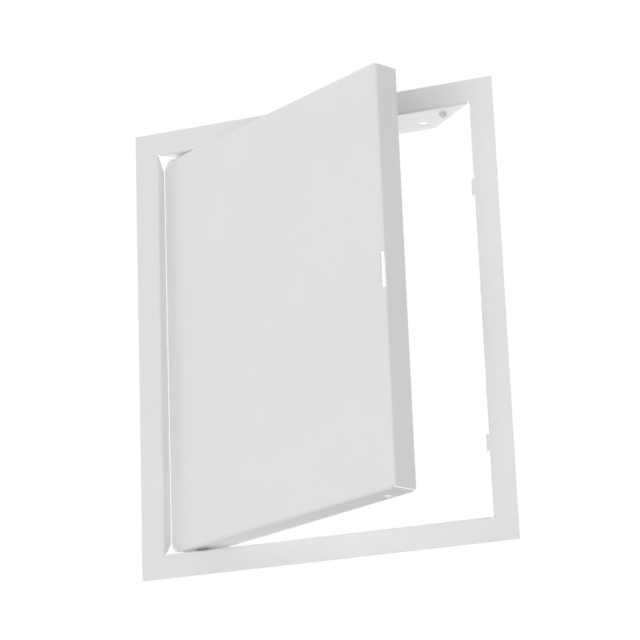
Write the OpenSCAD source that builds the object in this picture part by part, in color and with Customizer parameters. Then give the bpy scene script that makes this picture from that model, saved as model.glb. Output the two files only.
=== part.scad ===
// Steel access panel for a wall or a ceiling: a folded frame, and a folded door that swings on two rivets.
// X runs to the right, Y into the wall and Z up. The origin is at the centre of the opening, on the back face
// of the flange, which lies on the wall. Depths are measured from the front face of the flange.

/* [Opening] */
// Clear width between the side flaps
opening_w = 200; // [160:5:400]
// Clear height between the top and bottom flaps
opening_h = 250; // [180:5:500]
// Width of the flange around the opening
flange_w = 14.5; // [10:0.5:30]

/* [Sheet] */
// Thickness of the steel sheet
sheet_t = 0.8; // [0.6:0.1:1]
// Outer radius of every fold
fold_r = 1.8; // [1.4:0.1:2]

/* [Flaps] */
// Depth of the top and bottom flaps
long_flap = 30; // [27:1:45]
// Depth of the side flaps
side_flap = 9.7; // [6:0.1:11]
// Slit that parts the end of a fold from what lies beside it
corner_slit = 0.2; // [0.1:0.1:0.8]

/* [Door] */
// How far the door stands open, in degrees
door_angle = 29; // [0:1:110]
// Gap between the door and the top, bottom and latch side flaps
door_gap = 1.6; // [1.4:0.1:2.4]
// How far the shut door's face lies behind the front of the flange
set_back = 0; // [0:0.1:1.2]
// Depth of the door's walls, from its face
pan_depth = 16; // [15.5:0.5:22]
// Radius of the face's two hinge side corners
hinge_corner_r = 7; // [3:0.5:9]
// Clearance that the hinge edge keeps from the side flap as it swings past
swing_clearance = 0.8; // [0.3:0.1:1.2]
// Chamfer on the hinge end of the top and bottom walls
wall_chamfer = 3; // [1:0.5:4]
// Open seam between an end of the free wall and the outer face of the wall below or above it
seam = 0.9; // [0.3:0.1:1.2]
// Length of the pry slot in the free fold
slot_l = 21; // [12:1:40]
// Width of the pry slot on the face
slot_on_face = 2.9; // [2:0.1:4]
// Width of the pry slot on the free wall
slot_on_wall = 1.4; // [1.2:0.1:4]

/* [Stops] */
// Width of the stop tongues on the latch side flap
stop_w = 10; // [6:1:16]
// Distance of each tongue's middle from the top or bottom of the opening
stop_inset = 47; // [40:1:60]
// How far the tongues reach in behind the free wall
stop_reach = 5.7; // [4.5:0.1:9]
// Clearance between the shut door and the tongues
stop_clearance = 0.2; // [0.1:0.1:0.5]

/* [Pivots and catches] */
// Distance of the pivots and catches from the side flaps
pivot_inset = 19.6; // [19:0.1:24]
// Depth of the pivots and catches
pivot_depth = 11.6; // [11:0.1:12.2]
// Diameter of the pivot rivets in the door's walls
pivot_d = 5.2; // [4:0.1:6]
// Radial clearance of the rivets in their holes
run_clearance = 0.05; // [0.03:0.01:0.1]
// Clearance along the pivot on each side of a door wall
end_clearance = 0.2; // [0.1:0.1:0.4]
// Diameter of the spacers, the washers and the rivets' heads
washer_d = 7.4; // [7:0.1:8]
// Thickness of the washers
washer_t = 1; // [0.6:0.1:1.6]
// Diameter of the catch studs
stud_d = 4.6; // [4:0.1:5]
// How far a catch stud's dome enters the door's hole
snap = 0.65; // [0.3:0.05:0.8]

/* [Fixing holes] */
// Diameter of the holes for the screws
fixing_d = 6.4; // [4:0.1:6.6]
// Distance of the holes from the side flaps
fixing_inset = 34.8; // [32:0.1:50]
// Depth of the holes
fixing_depth = 21; // [18:0.1:23]

/* [Hidden] */
$fn = 96;
front = -sheet_t;
face_y = front + set_back;
free_x = opening_w / 2 - door_gap;
door_top = opening_h / 2 - door_gap;
pivot_x = pivot_inset - opening_w / 2;
pivot_y = front + pivot_depth;
// The face's front corner on the hinge side turns on this radius, just inside the side flap
swing_r = pivot_inset - swing_clearance;
hinge_x = pivot_x - sqrt(pow(swing_r, 2) - pow(pivot_y - face_y, 2));
// The hinge side of the face is left flat over this width, and the top and bottom folds start beyond it
flat_strip = hinge_corner_r + corner_slit;
stop_depth = set_back + pan_depth + stop_clearance;
hole_d = pivot_d + 2 * run_clearance;
spacer_t = door_gap - end_clearance;
shoulder_z = -door_gap - sheet_t - end_clearance;
tail_d = 0.8 * pivot_d;
stud_shank_d = 0.75 * stud_d;
paint = "whitesmoke";
zinc = "silver";
nylon = "ivory";

// Section of a quarter fold about the origin, in the quadrant that starts at the given turn
module bend(turn) {
    rotate(turn) intersection() {
        difference() {
            circle(fold_r);
            circle(fold_r - sheet_t);
        }
        square(fold_r);
    }
}

// Section of a sheet folded back from a front face: across the sheet, then back to the depth
module fold_section(depth) {
    translate([fold_r, fold_r]) bend(180);
    translate([0, fold_r]) square([sheet_t, depth - fold_r]);
}

// A folded strip along X, cut to the outline, which gives places along the fold and depths behind the front
module folded_strip(outline) {
    span = max([for (p = outline) abs(p[0])]);
    depth = max([for (p = outline) p[1]]);
    intersection() {
        rotate([0, -90, 0]) linear_extrude(2 * span, center = true) fold_section(depth);
        linear_extrude(fold_r) polygon(outline);
    }
}

// Turns a strip about Y and sets its fold at the given distance from the centre
module on_side(turn, distance, y) {
    rotate([0, turn, 0]) translate([0, y, distance]) children();
}

// Repeats a shape at the top and, mirrored, at the bottom
module top_and_bottom() {
    for (flip = [0, 1]) mirror([0, 0, flip]) children();
}

// An upright hole right through the top and bottom of the panel
module upright_hole(x, y, d) {
    translate([x, y, 0]) cylinder(d = d, h = 2 * opening_h, center = true);
}

// A domed rivet head on the XY plane
module button(d, h) {
    ball_r = (d * d / 4 + h * h) / (2 * h);
    rotate_extrude() intersection() {
        translate([0, h - ball_r]) circle(ball_r);
        square([d / 2, h]);
    }
}

// Flat ring of the flange, with its inner corners left sharp between the folds
module flange() {
    rotate([90, 0, 0]) linear_extrude(sheet_t) difference() {
        square([opening_w + 2 * flange_w, opening_h + 2 * flange_w], center = true);
        square([opening_w, opening_h + 2 * fold_r], center = true);
        square([opening_w + 2 * fold_r, opening_h], center = true);
    }
}

// Top flap: a deep strip with ends mitred from the very corners of the opening
module long_flap_strip() {
    root = opening_w / 2 - corner_slit;
    tip = root - long_flap;
    folded_strip([[-root, 0], [root, 0], [tip, long_flap], [-tip, long_flap]]);
}

// Side flap: a shallow strip with ends mitred from behind the fold
module side_flap_strip() {
    root = opening_h / 2 - corner_slit;
    tip = root - side_flap + fold_r;
    folded_strip([[-root, 0], [root, 0], [root, fold_r], [tip, side_flap], [-tip, side_flap], [-root, fold_r]]);
}

// A tongue of the latch side flap, which runs further back and turns in behind the door's free wall
module stop_tongue() {
    centre = stop_depth + sheet_t - fold_r;
    rotate([0, -90, 0]) linear_extrude(stop_w, center = true) {
        translate([0, side_flap - sheet_t]) square([sheet_t, centre - side_flap + sheet_t]);
        translate([sheet_t - fold_r, centre]) bend(0);
        translate([-stop_reach, stop_depth]) square([stop_reach + sheet_t - fold_r, sheet_t]);
    }
}

// The frame: one sheet, with the flaps folded back out of the opening
module frame() {
    color(paint) difference() {
        union() {
            flange();
            for (turn = [0, 180]) on_side(turn, opening_h / 2, front) long_flap_strip();
            for (turn = [90, 270]) on_side(turn, opening_w / 2, front) side_flap_strip();
            on_side(90, opening_w / 2, front)
                for (end = [-1, 1]) translate([end * (opening_h / 2 - stop_inset), 0, 0]) stop_tongue();
        }
        upright_hole(pivot_x, pivot_y, hole_d);
        upright_hole(-pivot_x, pivot_y, stud_shank_d + 2 * run_clearance);
        for (side = [-1, 1])
            upright_hole(side * (opening_w / 2 - fixing_inset), front + fixing_depth, fixing_d);
    }
}

// Hinge side of the face: a flat strip with two rounded corners
module hinge_strip() {
    intersection() {
        union() {
            translate([hinge_x, hinge_corner_r - door_top])
                square([flat_strip, 2 * (door_top - hinge_corner_r)]);
            translate([hinge_x + hinge_corner_r, -door_top]) square([corner_slit, 2 * door_top]);
            for (end = [-1, 1])
                translate([hinge_x + hinge_corner_r, end * (door_top - hinge_corner_r)]) circle(hinge_corner_r);
        }
        translate([hinge_x, -door_top]) square([flat_strip, 2 * door_top]);
    }
}

// Flat face of the door, up to where its folds begin
module door_face() {
    translate([0, face_y + sheet_t, 0]) rotate([90, 0, 0]) linear_extrude(sheet_t) {
        translate([hinge_x + hinge_corner_r, fold_r - door_top])
            square([free_x - fold_r - hinge_x - hinge_corner_r, 2 * (door_top - fold_r)]);
        hinge_strip();
    }
}

// Bottom wall of the door, from the flat hinge strip to the free fold
module door_end_wall() {
    near = hinge_x + flat_strip + corner_slit;
    far = free_x - fold_r - corner_slit;
    on_side(0, -door_top, face_y) folded_strip([[near, 0], [far, 0], [far, pan_depth],
        [near + wall_chamfer, pan_depth], [near, pan_depth - wall_chamfer]]);
}

// Free wall of the door
module door_free_wall() {
    half = door_top - seam;
    on_side(-90, -free_x, face_y) folded_strip([[-half, 0], [half, 0], [half, pan_depth], [-half, pan_depth]]);
}

// The door as it lies in the shut panel: one sheet, folded back on three sides
module shut_door() {
    difference() {
        union() {
            door_face();
            top_and_bottom() door_end_wall();
            door_free_wall();
        }
        for (x = [pivot_x, -pivot_x]) upright_hole(x, pivot_y, hole_d);
        translate([free_x - slot_on_face, face_y - sheet_t, -slot_l / 2])
            cube([slot_on_face + sheet_t, slot_on_wall + sheet_t, slot_l]);
    }
}

// The door, swung open about its pivots
module door_panel() {
    color(paint) translate([pivot_x, pivot_y, 0]) rotate([0, 0, -door_angle])
        translate([-pivot_x, -pivot_y, 0]) shut_door();
}

// Sets hardware on the inner face of the top flap, or of the bottom flap upside down
module at_flap(x, flip) {
    mirror([0, 0, flip]) translate([x, pivot_y, opening_h / 2]) children();
}

// Shouldered rivet, closed at its tail under the washer
module pivot_rivet(flip) {
    color(zinc) at_flap(pivot_x, flip) {
        translate([0, 0, sheet_t]) button(washer_d, 0.3 * pivot_d);
        translate([0, 0, shoulder_z]) cylinder(d = pivot_d, h = sheet_t - shoulder_z);
        translate([0, 0, shoulder_z - washer_t]) cylinder(d = tail_d, h = washer_t);
        translate([0, 0, shoulder_z - washer_t]) mirror([0, 0, 1]) button(1.45 * tail_d, 0.3 * tail_d);
    }
}

// Ring between the flap and the door's wall
module pivot_spacer(flip) {
    color(nylon) at_flap(pivot_x, flip) translate([0, 0, -spacer_t]) difference() {
        cylinder(d = washer_d, h = spacer_t);
        translate([0, 0, -spacer_t / 2]) cylinder(d = hole_d, h = 2 * spacer_t);
    }
}

// Washer that keeps the door's wall on the rivet
module pivot_washer(flip) {
    color(zinc) at_flap(pivot_x, flip) translate([0, 0, shoulder_z - washer_t]) difference() {
        cylinder(d = washer_d, h = washer_t);
        translate([0, 0, -washer_t / 2]) cylinder(d = tail_d + 2 * run_clearance, h = 2 * washer_t);
    }
}

// Domed stud, riveted in the flap and painted with it, which snaps into the hole in the door's wall
module catch_stud(flip) {
    neck = door_gap / 2;
    color(paint) at_flap(-pivot_x, flip) {
        translate([0, 0, sheet_t]) button(1.4 * stud_d, 0.24 * stud_d);
        cylinder(d = stud_shank_d, h = sheet_t);
        translate([0, 0, -neck]) cylinder(d = stud_d, h = neck);
        translate([0, 0, -neck]) mirror([0, 0, 1]) button(stud_d, door_gap + snap - neck);
    }
}

frame();
door_panel();
pivot_rivet(0);  // upper_pivot_rivet
pivot_rivet(1);  // lower_pivot_rivet
pivot_spacer(0);  // upper_pivot_spacer
pivot_spacer(1);  // lower_pivot_spacer
pivot_washer(0);  // upper_pivot_washer
pivot_washer(1);  // lower_pivot_washer
catch_stud(0);  // upper_catch_stud
catch_stud(1);  // lower_catch_stud
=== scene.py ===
"""Studio picture of a folded steel access panel, with its door standing open."""

import math

import bpy
from mathutils import Matrix, Vector

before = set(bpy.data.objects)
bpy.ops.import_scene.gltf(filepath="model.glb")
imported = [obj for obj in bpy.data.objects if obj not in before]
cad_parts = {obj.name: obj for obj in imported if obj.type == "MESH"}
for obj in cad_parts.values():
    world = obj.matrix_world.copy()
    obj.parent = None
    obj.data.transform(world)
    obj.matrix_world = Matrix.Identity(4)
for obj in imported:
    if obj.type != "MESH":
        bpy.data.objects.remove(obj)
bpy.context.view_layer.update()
scene = bpy.context.scene
MM = 0.001

# Camera, fitted to the edges in the photo, with its angles in degrees
camera_target = Vector((1.80, -0.81, 4.32)) * MM
camera_distance = 1493.6 * MM
camera_azimuth = 19.44
camera_elevation = -17.57
camera_roll = 2.20
camera_lens = 142.86

# Studio, in metres
floor_height = -1.5
floor_radius = 8
box_distance = 2.2
card_distance = 0.64

# Light levels, where 1 is white
soft_level = 0.25
floor_lift = 0.2

# Finish, with the span in which most noise values lie
edge_radius = 0.14 * MM
noise_low = 0.3
noise_high = 0.7


def direction(azimuth, elevation):
    """Unit vector from the panel towards a place that is that far round to the right and that far up."""
    turn = math.radians(azimuth)
    rise = math.radians(elevation)
    return Vector((math.sin(turn) * math.cos(rise), -math.cos(turn) * math.cos(rise), math.sin(rise)))


def aim(obj, place, target):
    """Sets a camera or a lamp in place, with its view on the target."""
    turn = (target - place).to_track_quat("-Z", "Y").to_matrix().to_4x4()
    obj.matrix_world = Matrix.Translation(place) @ turn


class Nodes:
    """A material's or a world's node tree, with short calls to add nodes and links."""

    def __init__(self, owner):
        owner.use_nodes = True
        self.tree = owner.node_tree
        self.tree.nodes.clear()

    def add(self, kind):
        return self.tree.nodes.new(kind)

    def join(self, source, target):
        self.tree.links.new(source, target)


def noise(nodes, place, scale, detail):
    """Noise over the piece's own coordinates, with the scale in features per metre."""
    texture = nodes.add("ShaderNodeTexNoise")
    texture.inputs["Scale"].default_value = scale
    texture.inputs["Detail"].default_value = detail
    nodes.join(place.outputs["Object"], texture.inputs["Vector"])
    return texture.outputs["Fac"]


def spread(nodes, value, low, high):
    """Maps a noise value to a range."""
    remap = nodes.add("ShaderNodeMapRange")
    remap.inputs["From Min"].default_value = noise_low
    remap.inputs["From Max"].default_value = noise_high
    remap.inputs["To Min"].default_value = low
    remap.inputs["To Max"].default_value = high
    nodes.join(value, remap.inputs["Value"])
    return remap.outputs["Result"]


def tint(nodes, value, low, high):
    """Maps a noise value to a colour between two."""
    ramp = nodes.add("ShaderNodeValToRGB")
    ramp.color_ramp.elements[0].position = noise_low
    ramp.color_ramp.elements[0].color = (*low, 1)
    ramp.color_ramp.elements[1].position = noise_high
    ramp.color_ramp.elements[1].color = (*high, 1)
    nodes.join(value, ramp.inputs["Fac"])
    return ramp.outputs["Color"]


def bump(nodes, height, depth, under=None):
    """Bumps of the given depth in metres, on top of any under them."""
    node = nodes.add("ShaderNodeBump")
    node.inputs["Strength"].default_value = 1
    node.inputs["Distance"].default_value = depth
    nodes.join(height, node.inputs["Height"])
    if under:
        nodes.join(under, node.inputs["Normal"])
    return node.outputs["Normal"]


def larger(nodes, first, second):
    """The larger of two values."""
    node = nodes.add("ShaderNodeMath")
    node.operation = "MAXIMUM"
    nodes.join(first, node.inputs[0])
    nodes.join(second, node.inputs[1])
    return node.outputs["Value"]


def surface(nodes):
    """The material's shader, joined to its output."""
    shader = nodes.add("ShaderNodeBsdfPrincipled")
    output = nodes.add("ShaderNodeOutputMaterial")
    nodes.join(shader.outputs["BSDF"], output.inputs["Surface"])
    return shader


def powder_coat():
    """Semi-gloss white powder coat with a fine orange peel."""
    material = bpy.data.materials.new("white powder coat")
    nodes = Nodes(material)
    shader = surface(nodes)
    place = nodes.add("ShaderNodeTexCoord")
    cloud = noise(nodes, place, 18, 3)
    peel = noise(nodes, place, 620, 2)
    waves = noise(nodes, place, 11, 1)
    nodes.join(tint(nodes, cloud, (0.837, 0.837, 0.837), (0.855, 0.855, 0.855)), shader.inputs["Base Color"])
    nodes.join(spread(nodes, peel, 0.30, 0.36), shader.inputs["Roughness"])
    broad = bump(nodes, waves, 0.12 * MM)
    nodes.join(bump(nodes, peel, 0.006 * MM, broad), shader.inputs["Normal"])
    return material


def zinc_plate():
    """Bright zinc on steel, with a fine grain and dull patches."""
    material = bpy.data.materials.new("zinc plate")
    nodes = Nodes(material)
    shader = surface(nodes)
    shader.inputs["Metallic"].default_value = 1
    place = nodes.add("ShaderNodeTexCoord")
    cloud = noise(nodes, place, 900, 4)
    grain = noise(nodes, place, 4200, 2)
    nodes.join(tint(nodes, cloud, (0.52, 0.53, 0.54), (0.70, 0.71, 0.72)), shader.inputs["Base Color"])
    nodes.join(spread(nodes, cloud, 0.28, 0.42), shader.inputs["Roughness"])
    nodes.join(bump(nodes, grain, 0.01 * MM), shader.inputs["Normal"])
    return material


def moulded_nylon():
    """Natural nylon with a faint moulded grain."""
    material = bpy.data.materials.new("moulded nylon")
    nodes = Nodes(material)
    shader = surface(nodes)
    place = nodes.add("ShaderNodeTexCoord")
    cloud = noise(nodes, place, 500, 3)
    grain = noise(nodes, place, 3000, 2)
    nodes.join(tint(nodes, cloud, (0.70, 0.67, 0.58), (0.76, 0.73, 0.65)), shader.inputs["Base Color"])
    nodes.join(spread(nodes, cloud, 0.42, 0.5), shader.inputs["Roughness"])
    nodes.join(bump(nodes, grain, 0.008 * MM), shader.inputs["Normal"])
    return material


def soften_edges(obj):
    """Rounds the cut edges of a piece a little, as paint and plating do."""
    bevel = obj.modifiers.new("soft edges", "BEVEL")
    bevel.width = edge_radius
    bevel.segments = 2
    bevel.limit_method = "ANGLE"
    bevel.angle_limit = math.radians(50)
    bevel.harden_normals = True


def dress():
    """Gives every piece the finish of its material slot."""
    finishes = {"white_paint": powder_coat(), "zinc": zinc_plate(), "nylon": moulded_nylon()}
    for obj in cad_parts.values():
        slot = obj.material_slots[0]
        slot.material = finishes[slot.material.name.split(".")[0]]
        soften_edges(obj)


def add_camera():
    """The photo's view: from the right and from below, with a slight roll."""
    data = bpy.data.cameras.new("camera")
    data.lens = camera_lens
    camera = bpy.data.objects.new("camera", data)
    scene.collection.objects.link(camera)
    place = camera_target + camera_distance * direction(camera_azimuth, camera_elevation)
    aim(camera, place, camera_target)
    camera.matrix_world = camera.matrix_world @ Matrix.Rotation(math.radians(-camera_roll), 4, "Z")
    scene.camera = camera


def background_rays(nodes):
    """One for rays that see the background, from the camera, a mirror or glass, and nought for the rest."""
    ray = nodes.add("ShaderNodeLightPath").outputs
    mirrored = larger(nodes, ray["Is Glossy Ray"], ray["Is Transmission Ray"])
    return larger(nodes, ray["Is Camera Ray"], mirrored)


def add_world():
    """Even soft light, on a background that the camera and mirrors see as white."""
    world = bpy.data.worlds.new("studio")
    scene.world = world
    nodes = Nodes(world)
    soft = nodes.add("ShaderNodeBackground")
    soft.inputs["Color"].default_value = (1, 1, 1, 1)
    soft.inputs["Strength"].default_value = soft_level
    white = nodes.add("ShaderNodeBackground")
    white.inputs["Color"].default_value = (1, 1, 1, 1)
    white.inputs["Strength"].default_value = 1
    mix = nodes.add("ShaderNodeMixShader")
    output = nodes.add("ShaderNodeOutputWorld")
    nodes.join(background_rays(nodes), mix.inputs["Fac"])
    nodes.join(soft.outputs["Background"], mix.inputs[1])
    nodes.join(white.outputs["Background"], mix.inputs[2])
    nodes.join(mix.outputs["Shader"], output.inputs["Surface"])


def pale_floor():
    """Matt and nearly white, and a little brighter to background rays than its light makes it."""
    material = bpy.data.materials.new("pale floor")
    nodes = Nodes(material)
    shader = surface(nodes)
    place = nodes.add("ShaderNodeTexCoord")
    cloud = noise(nodes, place, 3, 4)
    nodes.join(tint(nodes, cloud, (0.88, 0.88, 0.88), (0.91, 0.91, 0.91)), shader.inputs["Base Color"])
    shader.inputs["Roughness"].default_value = 0.8
    shader.inputs["Emission Color"].default_value = (1, 1, 1, 1)
    lift = nodes.add("ShaderNodeMapRange")
    lift.inputs["To Max"].default_value = floor_lift
    nodes.join(background_rays(nodes), lift.inputs["Value"])
    nodes.join(lift.outputs["Result"], shader.inputs["Emission Strength"])
    material.cycles.emission_sampling = "NONE"
    return material


def add_floor():
    """A plain round floor, well below the panel."""
    bpy.ops.mesh.primitive_circle_add(vertices=128, radius=floor_radius, fill_type="NGON",
                                      location=(0, 0, floor_height))
    floor = bpy.context.object
    floor.name = "floor"
    floor.data.materials.append(pale_floor())


def add_lamp(name, distance, azimuth, elevation, size, power):
    """A square soft box that faces the panel, with its power in watts."""
    data = bpy.data.lights.new(name, "AREA")
    data.size = size
    data.energy = power
    lamp = bpy.data.objects.new(name, data)
    lamp.visible_camera = False
    scene.collection.objects.link(lamp)
    aim(lamp, distance * direction(azimuth, elevation), Vector((0, 0, 0)))


def add_lamps():
    """Soft boxes all round, and a small card close behind the panel that brightens its top flap."""
    add_lamp("front box", box_distance, azimuth=-3, elevation=-18, size=1.4, power=21.5)
    add_lamp("left box", box_distance, azimuth=-60, elevation=45, size=1.1, power=10)
    add_lamp("right box", box_distance, azimuth=60, elevation=38, size=1.1, power=9.6)
    add_lamp("left side box", box_distance, azimuth=-100, elevation=10, size=2, power=6.3)
    add_lamp("right side box", box_distance, azimuth=125, elevation=-3, size=2, power=6.5)
    add_lamp("top box", box_distance, azimuth=180, elevation=80, size=1.4, power=10)
    add_lamp("near card", card_distance, azimuth=198, elevation=4, size=0.5, power=2.2)


dress()
add_camera()
add_world()
add_floor()
add_lamps()
scene.view_settings.view_transform = "Standard"
